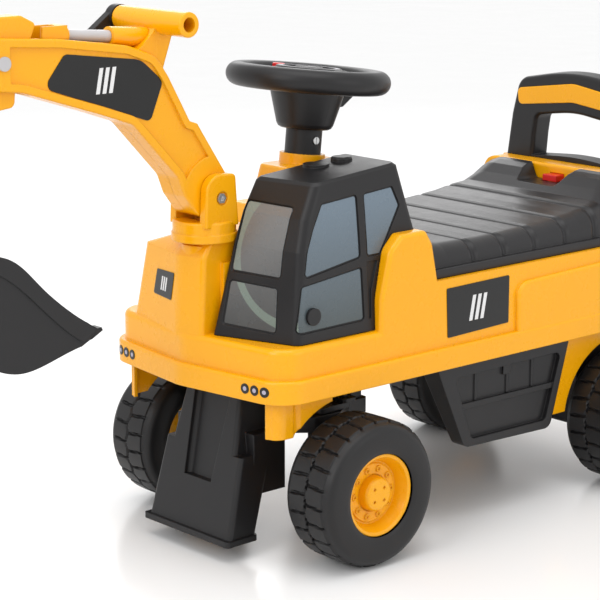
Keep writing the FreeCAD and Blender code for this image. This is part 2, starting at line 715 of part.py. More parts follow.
def turret_retainer():
    """Washer and screw under the pedestal that keep the turntable down."""
    washer = ring(V(0, turret_y, pedestal_z - 23), Z_AXIS, 17.0, 3.0, 3.0)
    head = rod(V(0, turret_y, pedestal_z - 26), Z_AXIS, 6.0, 3.0)
    shank = rod(V(0, turret_y, pedestal_z - 26), Z_AXIS, 3.0, 18.0)
    return fused([washer, head, shank])


def boom_pivot_bolt():
    """Bolt through the turret's ears, with a small hexagon nut and a round head."""
    nut_radius = 4.4
    shank = cross_rod(turret_y, boom_pivot_z, pivot_bolt_radius, -ear_outer + 1, ear_outer - 1.2)
    head = cross_rod(turret_y, boom_pivot_z, 5.4, -ear_outer - 0.4, -ear_outer + 2)
    turns = [math.radians(a) for a in range(0, 360, 60)]
    corners = [(turret_y + nut_radius * math.cos(a), boom_pivot_z + nut_radius * math.sin(a)) for a in turns]
    nut = side_prism(corners, 0, ear_outer - 2, ear_outer - 0.2)
    socket = cross_rod(turret_y, boom_pivot_z, 2.0, ear_outer - 1.6, ear_outer + 1)
    return fused([shank, head, nut]).cut(socket)


boom_outline = [  # station, height, corner radius
    (-290.0, 443.5, 10), (-216.0, 437.8, 0), (-152.0, 428.5, 40), (-125.0, 418.5, 24), (-113.0, 401.5, 16),
    (-91.8, 364.0, 2), (-84.0, 361.3, 2), (-78.6, 353.0, 4), (-49.0, 309.0, 16), (-57.0, 281.5, 12),
    (-84.0, 285.0, 14), (-98.0, 303.5, 8), (-104.0, 319.0, 12), (-149.0, 366.5, 14), (-181.0, 377.5, 0),
    (-252.0, 400.0, 30), (-288.0, 404.0, 16)]
boom_screw_places = [(-96.0, 346.0), (-140.0, 398.0), (-205.0, 413.0)]
panel_depth = 2.6           # how far the boom's side panel is sunk
border = 6.5                # width of the raised border round it


def boom_wire(x, shrink=0.0):
    wire = side_wire([(y, z) for y, z, _ in boom_outline], [r for _, _, r in boom_outline], x)
    return wire.makeOffset2D(-shrink) if shrink else wire


def boom_trough():
    """Groove along the boom's top under the arm cylinder."""
    start = on_rod(-230.0)
    return rod(start, rod_axis * -1.0, 8.6, 112.0)


def boom_half_shell():
    """Left half of the boom: a raised border round a sunk side panel, hollow inside, forked at the tip."""
    outer = Part.Face(boom_wire(0.05)).extrude(V(boom_half - 0.05, 0, 0))
    outer = soften(outer, 1.5, lambda c: c.x > boom_half - 0.01)
    floor = boom_half - panel_depth
    panel = Part.Face(boom_wire(floor, border)).extrude(V(5, 0, 0))
    keep_eye = cross_rod(turret_y, boom_pivot_z, 35.0, 0, 20)
    keep_tip = block(0, 20, -300, -262, 380, 460)
    panel = panel.cut(keep_eye).cut(keep_tip)
    cavity = Part.Face(boom_wire(0.0, wall)).extrude(V(floor - 2.2, 0, 0))
    cavity = cavity.cut(cross_rod(turret_y, boom_pivot_z, 12.0, -1, 20))
    cavity = cavity.cut(block(0, 20, -300, -232, 380, 460))
    half = outer.cut(panel).cut(cavity)
    fork = block(-1, fork_half, -300, -240, 380, 460)
    half = half.cut(fork).cut(block(-1, fork_half, -241, -226, 416, 460)).cut(boom_trough())
    half = half.cut(block(-1, 9.0, -233, -196, 431.5, 460))
    half = half.cut(cross_rod(dipper_pivot.y, dipper_pivot.z, 3.0 + 0.02, -1, 30))
    for y, z in boom_screw_places:
        half = half.fuse(cross_rod(y, z, 4.0, 0.05, floor - 1.0)).cut(cross_rod(y, z, 1.5, -1, 11.2))
    return half.cut(cross_rod(turret_y, boom_pivot_z, pivot_bolt_radius + running, -1, 30))


def boom_left_half():
    return boom_half_shell()


def boom_right_half():
    return mirrored(boom_half_shell())


def boom_screws():
    """Screws that close the boom, put in from the right."""
    return Part.makeCompound([cross_rod(y, z, 1.45, -11.2, 11.0) for y, z in boom_screw_places])


def boom_decal():
    """Dark plate in the sunk side panel."""
    outline = [(-231.5, 401.5), (-211.5, 426.0), (-139.0, 416.5), (-117.5, 398.0), (-130.5, 367.0)]
    floor = boom_half - panel_depth
    inside = Part.Face(boom_wire(floor, border + 0.5)).extrude(V(1, 0, 0))
    return side_prism(outline, [6, 6, 22, 6, 5], floor, floor + 0.6).common(inside)


def boom_solid():
    return Part.Face(boom_wire(-boom_half)).extrude(V(2 * boom_half, 0, 0))


def cylinder_barrel():
    """Yellow barrel fixed along the top of the boom."""
    start = on_rod(-161.0)
    barrel = rod(start, rod_axis * -1.0, 7.6, 40.0)
    barrel = barrel.cut(rod(start + rod_axis * 5, rod_axis * -1.0, 4.8 + running, 43.0))
    return barrel.cut(block(-20, 20, -200, -100, 380, 400)).cut(post())


def cylinder_rod():
    """Grey rod that slides in the barrel."""
    return rod(on_rod(-206.0), rod_axis * -1.0, 4.8, 56.0)


def rod_knuckle():
    """Hood on the rod's front end, notched for the dipper's tongue."""
    start = on_rod(-228.5)
    hood = rod(start, rod_axis * -1.0, 8.2, 27.0)
    cheek = block(-8.2, 8.2, -228, -205, on_rod(-216).z - 3, on_rod(-216).z + 7.6)
    hood = soften(hood, 3.0, lambda c: c.y > -204).fuse(cheek)
    hood = hood.cut(block(-5.5, 5.5, -240, -214, 420, 470))
    return hood.cut(cylinder_rod()).common(block(-20, 20, -235, -195, 430.2, 470))


def post():
    """Post under the grip tube, flared forwards over the barrel's end."""
    profile = [(-150, 403), (-150, 417), (-136.5, 426.5), (-124, 438), (-122, 446), (-104, 446), (-107, 433),
               (-118, 403)]
    return side_prism(profile, [0, 6, 20, 10, 0, 0, 12, 0], -11.5, 11.5)


def grip_tube():
    """Cross tube on a post: the rider's hand rests here to lift and lower the boom."""
    tube = cross_rod(grip_axis.y, grip_axis.z, grip_radius, -43.5, 43.5)
    tube = soften(tube, 1.2, lambda c: abs(abs(c.x) - 43.5) < 0.1)
    grip = tube.fuse(post().cut(boom_solid()))
    return grip.cut(cross_rod(grip_axis.y, grip_axis.z, 5.75, -50, 50))


def hand_lever():
    """Black lever on the tube's right end: squeezing it works the dipper."""
    y, z = grip_axis.y, grip_axis.z
    pin = cross_rod(y, z, 5.75 - running, -44.0, -24.0)
    hub = soften(cross_rod(y, z, 10.5, -53.5, -43.9), 2.0, lambda c: c.x < -53)
    outline = [(y - 3, z + 9), (-158, 424), (-160, 414), (-150, 412), (y + 2, z - 9)]
    return fused([pin, hub, side_prism(outline, [0, 4, 4, 4, 0], -52.5, -45.0)])


dipper_half = 8.8
dipper_outline = [  # station, height, corner radius
    (-282, 441, 4), (-268, 457, 4), (-247, 457, 4), (-234, 450.5, 3), (-242, 430, 10), (-254, 400, 8),
    (-255, 389, 5), (-272, 387, 6), (-280, 380, 20), (-309, 306, 30), (-316, 290, 9), (-330, 290, 9),
    (-335, 304, 20), (-311, 390, 60), (-296, 424, 14)]


def dipper_arm():
    """Dipper: a tongue above the boom's tip for the rod, a heel below it, and the stick to the bucket."""
    outline = [(y, z) for y, z, _ in dipper_outline]
    stick = side_prism(outline, [radius for _, _, radius in dipper_outline], -dipper_half, dipper_half)
    stick = soften(stick, 1.5, lambda c: abs(abs(c.x) - dipper_half) < 0.01)
    pocket_outline = [(-288, 383), (-314, 318), (-325, 318), (-307, 386)]
    pocket = side_prism(pocket_outline, [4, 3, 3, 4], dipper_half - 2.0, dipper_half + 1)
    stick = stick.cut(both_sides(pocket))
    for pivot in (dipper_pivot, bucket_pivot):
        stick = stick.cut(cross_rod(pivot.y, pivot.z, 3.0 + running, -20, 20))
    return stick


def dipper_pin():
    shank = cross_rod(dipper_pivot.y, dipper_pivot.z, 3.0, -boom_half, boom_half)
    heads = both_sides(cross_rod(dipper_pivot.y, dipper_pivot.z, 5.5, boom_half, boom_half + 1.6))
    return fused([shank, heads])


bucket_edge = [(-309, 287), (-284, 280), (-262, 259), (-240, 239), (-219, 224)]
bucket_lip, bucket_heel = (-205, 215.5), (-224, 206)
bucket_back = [(-253, 198.5), (-280, 194), (-306, 202), (-330, 226), (-336, 254), (-330, 280)]


def curve(points):
    spline = Part.BSplineCurve()
    spline.interpolate([V(0, y, z) for y, z in points])
    return spline.toShape()


def line(start, end):
    return Part.LineSegment(V(0, *start), V(0, *end)).toShape()


def bucket_side_face():
    edge = curve(bucket_edge)
    back = curve([bucket_heel] + bucket_back + [bucket_edge[0]])
    wire = Part.Wire([edge, line(bucket_edge[-1], bucket_lip), line(bucket_lip, bucket_heel), back])
    return Part.Face(wire)


def bucket_band():
    """Thick border along the mouth, on the left cheek."""
    inner = [(-303, 275), (-281, 260), (-262, 242), (-244, 225), (-222, 208.5)]
    corner = (-210, 217)
    wire = Part.Wire([curve(bucket_edge), line(bucket_edge[-1], corner), line(corner, inner[-1]),
                      curve(inner[::-1]), line(inner[0], bucket_edge[0])])
    band = Part.Face(wire).extrude(V(1.8, 0, 0))
    band.translate(V(bucket_half - 0.1, 0, 0))
    return band


def bucket_teeth():
    tooth_width, count = 10.0, 5
    outline = [(-222, 208.5), (-218, 216.5), (-203.5, 217.5), (-202.5, 215.0), (-213, 209.5)]
    first = -bucket_half + 2.0
    step = (2 * bucket_half - 4.0 - tooth_width) / (count - 1)
    return [side_prism(outline, 0, first + i * step, first + i * step + tooth_width) for i in range(count)]


def bucket():
    """Scoop: two cheeks with thick borders along the mouth, a curved back, a toothed lip and pivot ears."""
    inner_half = bucket_half - 3.5
    solid = bucket_side_face().extrude(V(2 * bucket_half, 0, 0))
    solid.translate(V(-bucket_half, 0, 0))
    cavity = bucket_side_face().extrude(V(2 * inner_half, 0, 0))
    cavity.translate(V(-inner_half, 4.2, 5.2))
    mouth_outline = [(-313, 300), (-306, 283), (-284, 276), (-262, 255), (-240, 235), (-214, 217),
                     (-190, 240), (-250, 310)]
    mouth = side_prism(mouth_outline, 0, -inner_half, inner_half)
    scoop = solid.cut(fused([cavity, mouth]))
    ear_outline = [(-333, 262), (-334, 304), (-326, 311), (-318, 311), (-311, 304), (-300, 281),
                   (-318, 262)]
    ear = side_prism(ear_outline, [0, 8, 4, 4, 8, 0, 0], dipper_half + 0.5, dipper_half + 5.0)
    pieces = [scoop, both_sides(bucket_band()), ear, mirrored(ear)] + bucket_teeth()
    return fused(pieces).cut(cross_rod(bucket_pivot.y, bucket_pivot.z, 3.0 + 0.02, -30, 30))


def bucket_pin():
    shank = cross_rod(bucket_pivot.y, bucket_pivot.z, 3.0, -dipper_half - 5.0, dipper_half + 5.0)
    heads = both_sides(cross_rod(bucket_pivot.y, bucket_pivot.z, 5.0, dipper_half + 5.0, dipper_half + 6.6))
    return fused([shank, heads])


# ---- steering ----
button_x, button_radius = 39.0, 5.5
button_top = 9.5
pad_radius, pad_top = 28.5, 9.5
column_screw_z = -51.5
crank_low = 131.1           # underside of the crank arm where it leaves the rod
tie_rod_low, tie_rod_high = 123.0, 126.5


def steering_wheel():
    """Round rim on three spokes; the two side spokes carry wells for the horn buttons."""
    rim = Part.makeTorus(steering_wheel_radius, grip_radius)
    plate = rod(V(0, 0, -6.0), Z_AXIS, 31.0, 6.0)
    side = block(24, 56, -9, 9, -6, 0)
    well = rod(V(button_x, 0, -6.0), Z_AXIS, 8.5, 10.0)
    rear = block(-10, 10, 24, 56, -6, 0)
    wheel = fused([rim, plate, side, mirrored(side), well, mirrored(well), rear])
    pocket = rod(V(button_x, 0, -4.6), Z_AXIS, button_radius + gap, 15.0)
    wheel = wheel.cut(both_sides(pocket))
    return steering_frame(wheel.cut(rod(V(0, 0, -8), Z_AXIS, axle_radius, 10.0)))


def horn_button():
    """Left-hand horn button; the right-hand one is its mirror image."""
    cap = rod(V(button_x, 0, -2.0), Z_AXIS, button_radius, button_top + 2.0)
    return steering_frame(soften(cap, 1.2, lambda c: c.z > button_top - 0.1))


def horn_panel():
    """Round pad in the middle of the wheel, with a raised ring and a raised centre."""
    pad = soften(rod(V(0, 0, 0.0), Z_AXIS, pad_radius, pad_top), 2.0, lambda c: c.z > pad_top - 0.1)
    dish = rod(V(0, 0, pad_top - 1.3), Z_AXIS, pad_radius - 6.5, 3.0)
    centre = rod(V(0, 0, pad_top - 2.0), Z_AXIS, 12.0, 2.1)
    centre = soften(centre, 1.0, lambda c: c.z > pad_top)
    return steering_frame(fused([pad.cut(dish), centre]))


hub_sections = [  # height in the wheel's frame, outer radius
    (-42.5, 20.5), (-41.3, 22.7), (-38.5, 24.3), (-14.0, 31.0), (-6.0, 32.5)]


def hub_cup(inset, raised):
    """The cup's form moved inwards by inset, with its floor raised."""
    wires = []
    for z, radius in hub_sections:
        height = max(z, hub_sections[0][0] + raised * (1 + len(wires)))
        wires.append(Part.Wire(Part.makeCircle(radius - inset, V(0, 0, height), Z_AXIS)))
    return Part.makeLoft(wires, True, True)


def steering_hub():
    """Cup under the wheel that narrows to the column, with a gusset under the rear spoke."""
    shell = hub_cup(0.0, 0.0).cut(hub_cup(2.5, 1.6)).cut(rod(V(0, 0, -6.05), Z_AXIS, 40.0, 5.0))
    gusset = side_prism([(24, -24), (34, -23), (45, -14), (58, -12.5), (58, -6.0), (24, -6.0)], 0, -9.0, 9.0)
    gusset = gusset.cut(hub_cup(1.5, 0.0)).cut(Part.makeTorus(steering_wheel_radius, grip_radius))
    return steering_frame(fused([shell, gusset]).cut(rod(V(0, 0, -50), Z_AXIS, column_radius, 20.0)))


def sound_module():
    """Sealed horn unit and battery box inside the cup."""
    return steering_frame(block(-13, 13, -19, -7, -26, -8))


def column_tube():
    """Tube from the cup down into the tower, turning with the wheel."""
    tube = ring(V(0, 0, -105.0), Z_AXIS, column_radius, column_radius - 3.0, 70.0)
    plug = rod(V(0, 0, -70.0), Z_AXIS, column_radius - 2.9, 34.0)
    bore = rod(V(0, 0, -110.0), Z_AXIS, axle_radius, 90.0)
    screw = rod(V(0, 0, column_screw_z), V(1, 0, 0), 1.6, 30.0)
    countersink = rod(V(column_radius - 1.5, 0, column_screw_z), X_AXIS, 3.3, 5.0)
    return steering_frame(fused([tube, plug]).cut(bore).cut(screw).cut(countersink))


def column_screw():
    shank = rod(V(5.0, 0, column_screw_z), X_AXIS, 1.55, 10.0)
    head = rod(V(column_radius - 1.5, 0, column_screw_z), X_AXIS, 3.2, 2.3)
    slot = block(column_radius + 0.2, column_radius + 2, -0.4, 0.4, column_screw_z - 4, column_screw_z + 4)
    return steering_frame(fused([shank, head]).cut(slot))


def steering_rod():
    """Steel rod down the column, bent round into a crank whose pin drives the tie rod."""
    low = (crank_low - wheel_centre.z) / steer_axis.z
    shaft = rod(V(0, 0, low), Z_AXIS, axle_radius, -6.5 - low)
    arm = plan_prism([(-6, -6), (6, -6), (5, crank_reach + 5), (-5, crank_reach + 5)], 4.0, low, low + 5.0)
    pin = rod(V(0, crank_reach, low + 1.0), Z_AXIS * -1.0, 3.0, 6.0)
    return steering_frame(fused([shaft, arm, pin]))


def tie_rod():
    """Flat bar over both knuckles' arms, slotted for their pins and for the crank's pin."""
    outline = [(-79, 18), (79, 18), (79, 32.5), (20, 32.5), (14, 56), (-14, 56), (-20, 32.5),
               (-79, 32.5)]
    bar = plan_prism(outline, 3.0, tie_rod_low, tie_rod_high)
    crank_pin_y = (on_column(tie_rod_high) + V(0, crank_reach, 0)).y
    knuckle_slots = [(-kingpin_x, 20.2, 30.0), (kingpin_x, 20.2, 30.0)]
    for x, y0, y1 in knuckle_slots + [(0.0, crank_pin_y - 6.0, crank_pin_y + 5.0)]:
        slot = plan_prism([(x - 3.4, y0), (x + 3.4, y0), (x + 3.4, y1), (x - 3.4, y1)], 3.0, 120.0, 130.0)
        bar = bar.cut(slot)
    return bar


def knuckle():
    """Left steering knuckle: kingpin, arm with its pin, block and stub axle."""
    x = kingpin_x
    kingpin = rod(V(x, 0, 98.0), Z_AXIS, kingpin_radius - running, 24.0)
    arm_outline = [(x - 7.5, -7.5), (x + 7.5, -7.5), (x + 5, crank_reach + 5), (x - 5, crank_reach + 5)]
    arm = plan_prism(arm_outline, 4.5, 117.4, 122.4)
    pin = rod(V(x, crank_reach, 120.0), Z_AXIS, 3.0, 8.5)
    block_outline = [(x - 8, -10), (x + 14, -10), (x + 14, 10), (x - 8, 10)]
    upright = plan_prism(block_outline, 4.0, 48.0, beam_low - 0.5)
    stub = cross_rod(0.0, wheel_radius, axle_radius, x, wheel_outer_x - 8.0)
    return fused([kingpin, arm, pin, upright, stub])


# ---- wheels ----
lug_count = 24
lug_depth = 2.6


def turned(profile, y):
    """Solid of revolution round the left wheel's axle line; profile points are (x, radius)."""
    points = [V(x, y, wheel_radius + r) for x, r in profile]
    face = Part.Face(Part.makePolygon(points + [points[0]]))
    return face.revolve(V(0, y, wheel_radius), X_AXIS, 360)


def tyre_profile():
    """Right-hand side of the tyre's section, from the bead over the shoulder to the middle groove."""
    half = tyre_width / 2
    return [(half - 2.0, rim_radius), (half - 1.0, rim_radius + 1.5), (half, 45.0), (half - 0.6, 54.0),
            (half - 4.0, 59.5), (half - 8.0, wheel_radius - 0.6), (8.0, wheel_radius), (3.0, wheel_radius),
            (2.0, wheel_radius - lug_depth)]


def tyre(y):
    """Left tyre: a hollow ring with two staggered rows of lugs round a middle groove."""
    middle = wheel_outer_x - tyre_width / 2
    half = tyre_width / 2
    flank = tyre_profile()
    profile = [(middle + x, r) for x, r in flank] + [(middle - x, r) for x, r in flank[::-1]]
    hollow = [(middle - half + 5.0, rim_radius - 1), (middle + half - 6.0, rim_radius - 1),
              (middle + half - 6.0, 52.0), (middle + half - 9.0, 55.4), (middle - half + 8.0, 55.4),
              (middle - half + 5.0, 52.0)]
    body = turned(profile, y).cut(turned(hollow, y))
    step = 360.0 / lug_count
    rows = [(middle + 2.5, middle + half + 1, 0.0), (middle - half - 1, middle - 2.5, 0.5)]
    cuts = []
    for x0, x1, offset in rows:
        for i in range(lug_count):
            groove = block(x0, x1, y - 1.2, y + 1.2, wheel_radius * 2 - lug_depth, wheel_radius * 2 + 3)
            groove.rotate(V(0, y, wheel_radius), X_AXIS, (i + offset) * step)
            cuts.append(groove)
    return body.cut(Part.makeCompound(cuts))


def rim(y):
    """Left rim: dished face with a ring of bolts round a raised hub whose cap has four small holes."""
    w = wheel_outer_x
    face = [(w - 54, 35.0), (w - 4.5, 35.0), (w - 3.6, 34.2), (w - 4.5, 31.5), (w - 8, 30.0),
            (w - 15.0, 26.5), (w - 15.0, 25.0), (w - 13.6, 24.5), (w - 13.6, 15.8), (w - 15.0, 15.2),
            (w - 7.5, 14.2), (w - 5.5, 13.0), (w - 4.7, 11.0), (w - 4.7, 0.0), (w - 7.5, 0.0),
            (w - 7.5, axle_radius + running), (w - 54, axle_radius + running)]
    cavity = [(w - 51, 9.0), (w - 19.0, 9.0), (w - 18.0, 28.0), (w - 20.0, 32.0), (w - 51, 32.0)]
    body = turned(face, y).cut(turned(cavity, y))
    bolt = cross_rod(y, wheel_radius + 20.4, 2.6, w - 16.0, w - 12.4)
    dimple = cross_rod(y, wheel_radius + 20.4, 1.3, w - 13.6, w - 12.0)
    hole = cross_rod(y, wheel_radius + 7.5, 1.3, w - 6.4, w - 4.0)
    body = fused([body] + around(bolt, y, 10, 18.0))
    return body.cut(Part.makeCompound(around(dimple, y, 10, 18.0) + around(hole, y, 4, 45.0)))


def around(shape, y, count, first):
    """Copies of the shape spaced evenly round a wheel's axle, the first one turned by an angle."""
    copies = []
    for i in range(count):
        copy = shape.copy()
        copy.rotate(V(0, y, wheel_radius), X_AXIS, first + i * 360.0 / count)
        copies.append(copy)
    return copies


# ---- every piece, by name ----
def all_parts():
    side_names = {"side_badge": side_badge(), "side_step": side_step(), "boom_decal": boom_decal(),
                  "horn_button": horn_button(), "knuckle": knuckle()}
    for end, y in (("front", 0.0), ("rear", wheelbase)):
        side_names["tyre_" + end] = tyre(y)
        side_names["rim_" + end] = rim(y)
    parts = {}
    for name, shape in side_names.items():
        parts[name + "_left"] = shape
        parts[name + "_right"] = mirrored(shape)
    for builder in single_parts:
        parts[builder.__name__] = builder()
    return parts


single_parts = [
    body_shell, floor_pan, body_screws, cab_shell, cab_front_window, cab_side_windows, door_knob,
    front_stop_blade, headlamp_stickers, front_badge, steering_beam, rear_axle_housing, rear_axle,
    storage_bin, push_handle, handle_insert, lid_hinge_pin, seat_lid, seat_latch,
    turret, turret_retainer, boom_pivot_bolt, boom_left_half, boom_right_half, boom_screws,
    cylinder_barrel, cylinder_rod, rod_knuckle, grip_tube, hand_lever,
    dipper_arm, dipper_pin, bucket, bucket_pin,
    steering_wheel, steering_hub, horn_panel, sound_module, column_tube, column_screw, steering_rod, tie_rod]


os.makedirs("parts", exist_ok=True)
for name, shape in all_parts().items():
    shape = shape.copy()
    shape.translate(V(0, -mid_length, 0))
    shape.exportStep("parts/" + name + ".step")
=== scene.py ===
"""Looks of the ride-on toy digger: materials for every carried CAD node, detailed tyres, lamps and marks,
a plain pale floor, soft studio light and the camera. Lengths are in metres, in the CAD model's frame."""
import json
import math

import bpy
from mathutils import Matrix, Vector


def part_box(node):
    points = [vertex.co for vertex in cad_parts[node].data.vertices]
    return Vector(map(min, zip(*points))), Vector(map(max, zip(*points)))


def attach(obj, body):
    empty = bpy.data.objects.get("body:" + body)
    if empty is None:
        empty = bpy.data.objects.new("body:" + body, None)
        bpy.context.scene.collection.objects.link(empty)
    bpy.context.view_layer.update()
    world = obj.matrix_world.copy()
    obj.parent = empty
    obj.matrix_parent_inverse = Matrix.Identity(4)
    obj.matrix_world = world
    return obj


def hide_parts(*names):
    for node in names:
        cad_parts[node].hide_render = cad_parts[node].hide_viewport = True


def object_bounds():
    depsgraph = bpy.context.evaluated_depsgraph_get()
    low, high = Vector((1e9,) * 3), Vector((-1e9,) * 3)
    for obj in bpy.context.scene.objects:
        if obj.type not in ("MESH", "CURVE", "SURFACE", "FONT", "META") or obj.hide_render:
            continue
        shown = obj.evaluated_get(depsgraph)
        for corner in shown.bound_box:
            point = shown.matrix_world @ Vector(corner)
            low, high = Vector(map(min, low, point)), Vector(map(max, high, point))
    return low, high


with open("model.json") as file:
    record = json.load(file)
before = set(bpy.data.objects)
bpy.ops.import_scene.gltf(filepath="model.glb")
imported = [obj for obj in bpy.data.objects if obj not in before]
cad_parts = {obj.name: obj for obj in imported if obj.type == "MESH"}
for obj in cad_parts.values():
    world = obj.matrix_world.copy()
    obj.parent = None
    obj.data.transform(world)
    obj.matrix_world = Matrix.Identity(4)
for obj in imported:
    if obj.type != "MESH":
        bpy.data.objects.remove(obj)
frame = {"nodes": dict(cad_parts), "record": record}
cad_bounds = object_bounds()
scene = bpy.context.scene
MM = 0.001

# ---- colours, linear ----
AMBER = (0.85, 0.375, 0.0)
BLACK = (0.0095, 0.0090, 0.0098)
SEAT_GREY = (0.015, 0.0143, 0.0155)
TYRE_BLACK = (0.0095, 0.0090, 0.0095)
FILM_BLACK = (0.009, 0.009, 0.009)
RED = (0.62, 0.012, 0.01)
ROD_GREY = (0.47, 0.46, 0.47)
STEEL_GREY = (0.6, 0.6, 0.6)
SILVER = (0.72, 0.72, 0.72)
# pale lilac grey of the lamp lenses: a painted highlight in the middle of each lamp
LAMP_HIGHLIGHT = (0.40, 0.37, 0.46)
PAD_MAUVE = (0.36, 0.34, 0.37)
SIDE_PANE_FOOT, SIDE_PANE_HEAD = (0.062, 0.078, 0.082), (0.135, 0.18, 0.225)
FRONT_PANE_FOOT, FRONT_PANE_HEAD = (0.075, 0.078, 0.078), (0.17, 0.17, 0.17)
SWOOSH_GREEN = (0.24, 0.31, 0.26)
FLOOR_DARK, FLOOR_LIGHT = (0.90, 0.90, 0.90), (0.93, 0.93, 0.93)
WHITE = (1.0, 1.0, 1.0, 1.0)

# ---- plastic surface ----
COLOUR_PATCHES = 14.0
GLOSS_PATCHES = 55.0
GRAIN_DEPTH = 0.06 * MM
PLASTIC_SHINE = 0.36
COAT_ROUGHNESS = 0.12

# ---- window film ----
FILM_FOOT, FILM_HEAD = 0.2, 0.3
FRONTWARD = -0.6
SWOOSH_STRENGTH = 0.5
SWOOSH_INNER_CENTRE, SWOOSH_INNER_RADIUS = (0.0934, 0.0, 0.2652), 0.0590
SWOOSH_OUTER_CENTRE, SWOOSH_OUTER_RADIUS = (0.1000, 0.0, 0.2720), 0.0745

# ---- tyres ----
LUGS = 24
STEPS_PER_LUG = 16
CROWN_STEPS = 36
TYRE_INSET = 0.1 * MM
CROWN_EDGE = 9 * MM
CROWN_FALL = 0.8 * MM
TREAD_DEPTH = 2.6 * MM
GROOVE_TAPER = 0.35
ZIGZAG = 1.5 * MM
MIDDLE_GROOVE = 0.7 * MM
LUG_LEAN = 5.5
LUG_HALF = 0.455
LUG_FLANK = 0.045
BEAD = ((2.0, 0.0), (0.8, 1.6), (0.2, 5.0), (0.0, 10.0))
SHOULDER = ((0.3, 9.5, 0.0), (1.2, 6.4, 0.0), (2.8, 4.2, 0.0), (5.0, 2.9, 0.0), (7.2, 2.3, 0.0),
            (8.4, 1.6, 0.3))

# ---- printed trim ----
LENS_RADIUS, LENS_RISE = 1.9 * MM, 0.3 * MM
LENS_RINGS, LENS_SPOKES = 5, 28
LAMP_GAP = 1.2 * MM
PAD_RING_INNER, PAD_RING_OUTER = 22.6 * MM, 26.2 * MM
PAD_RING_SUNK = 0.05 * MM
PAD_RING_SPOKES = 64
BAR_OUTLINE = ((-0.09, -0.5), (0.09, -0.5), (0.29, 0.5), (0.11, 0.5))
BAR_SPACING = 0.31
BAR_SHIFT = 0.1
BAR_THICKNESS = 0.08 * MM
SIDE_MARK, BOOM_MARK, FRONT_MARK = 22 * MM, 20 * MM, 12 * MM
BOOM_MARK_RISE = 6 * MM
SIDE_STANDOFF, FRONT_STANDOFF = 0.01 * MM, 0.02 * MM

# ---- studio ----
FLOOR_REACH = 6.0
LIGHT_TARGET = (0.0, 0.0, 0.2)
LIGHTS = (("overhead", (0.3, -0.3, 1.9), (1.6, 1.2), 12.0),
          ("key", (0.3, -2.2, 1.5), (1.2, 1.2), 15.0),
          ("fill", (2.3, 0.7, 1.0), (1.4, 1.4), 7.0),
          ("rim", (-1.6, 1.2, 1.3), (1.0, 1.0), 8.0))
LENS_LENGTH, SENSOR_WIDTH = 129.0, 36.0
CAMERA_PLACE = (1.3455, -1.2109, 0.6051)
CAMERA_AZIMUTH, CAMERA_ELEVATION = math.radians(48.23), math.radians(12.80)


# ---- materials ----
class Nodes:
    """Small helper that adds nodes to one material and links them."""

    MIX_FIRST, MIX_SECOND, MIX_RESULT = 6, 7, 2

    def __init__(self, name):
        self.material = bpy.data.materials.new(name)
        self.material.use_nodes = True
        self.tree = self.material.node_tree
        self.shader = self.tree.nodes["Principled BSDF"]

    def add(self, kind, settings=(), **inputs):
        node = self.tree.nodes.new(kind)
        for key, value in dict(settings).items():
            setattr(node, key, value)
        for key, value in inputs.items():
            self.feed(node.inputs[key.replace("_", " ")], value)
        return node

    def feed(self, socket, value):
        if isinstance(value, bpy.types.NodeSocket):
            self.tree.links.new(value, socket)
        else:
            socket.default_value = value

    def place(self):
        """Coordinates in metres that stay with the piece."""
        return self.add("ShaderNodeTexCoord").outputs["Object"]

    def noise(self, scale, detail=2.0, roughness=0.5):
        node = self.add("ShaderNodeTexNoise", Vector=self.place(), Scale=scale, Detail=detail,
                        Roughness=roughness)
        return node.outputs["Fac"]

    def spread(self, factor, low, high):
        """factor from 0..1 spread over low..high."""
        node = self.add("ShaderNodeMapRange", Value=factor, To_Min=low, To_Max=high)
        return node.outputs["Result"]

    def maths(self, operation, a, b):
        node = self.add("ShaderNodeMath", {"operation": operation})
        self.feed(node.inputs[0], a)
        self.feed(node.inputs[1], b)
        return node.outputs[0]

    def distance(self, place, centre):
        node = self.add("ShaderNodeVectorMath", {"operation": "DISTANCE"})
        self.feed(node.inputs[0], place)
        self.feed(node.inputs[1], centre)
        return node.outputs["Value"]

    def between(self, factor, first, second):
        """Colour mixed from first to second by factor."""
        node = self.add("ShaderNodeMix", {"data_type": "RGBA"})
        self.feed(node.inputs["Factor"], factor)
        for socket, colour in ((self.MIX_FIRST, first), (self.MIX_SECOND, second)):
            linked = isinstance(colour, bpy.types.NodeSocket)
            self.feed(node.inputs[socket], colour if linked else (*colour, 1.0))
        return node.outputs[self.MIX_RESULT]

    def soft_edges(self, radius, height, strength, distance):
        """Normal with rounded edges and a fine surface relief."""
        edge = self.add("ShaderNodeBevel", {"samples": 6}, Radius=radius)
        bump = self.add("ShaderNodeBump", Height=height, Strength=strength, Distance=distance)
        self.feed(bump.inputs["Normal"], edge.outputs["Normal"])
        self.feed(self.shader.inputs["Normal"], bump.outputs["Normal"])


def shade(colour, amount):
    return tuple(min(1.0, channel * amount) for channel in colour)


def moulded(name, colour, rough, edge=0.9 * MM, grain=1500.0, relief=0.25, coat=0.0, uneven=0.05):
    """Moulded plastic: slightly uneven colour and gloss, a fine surface texture and rounded edges."""
    n = Nodes(name)
    broad = n.noise(COLOUR_PATCHES, 3.0)
    tint = n.between(broad, shade(colour, 1.0 - uneven), shade(colour, 1.0 + uneven))
    n.feed(n.shader.inputs["Base Color"], tint)
    patchy = n.noise(GLOSS_PATCHES, 4.0, 0.6)
    n.feed(n.shader.inputs["Roughness"], n.spread(patchy, rough - 0.05, rough + 0.07))
    n.soft_edges(edge, n.noise(grain), relief, GRAIN_DEPTH)
    n.shader.inputs["Specular IOR Level"].default_value = PLASTIC_SHINE
    n.shader.inputs["Coat Weight"].default_value = coat
    n.shader.inputs["Coat Roughness"].default_value = COAT_ROUGHNESS
    return n.material


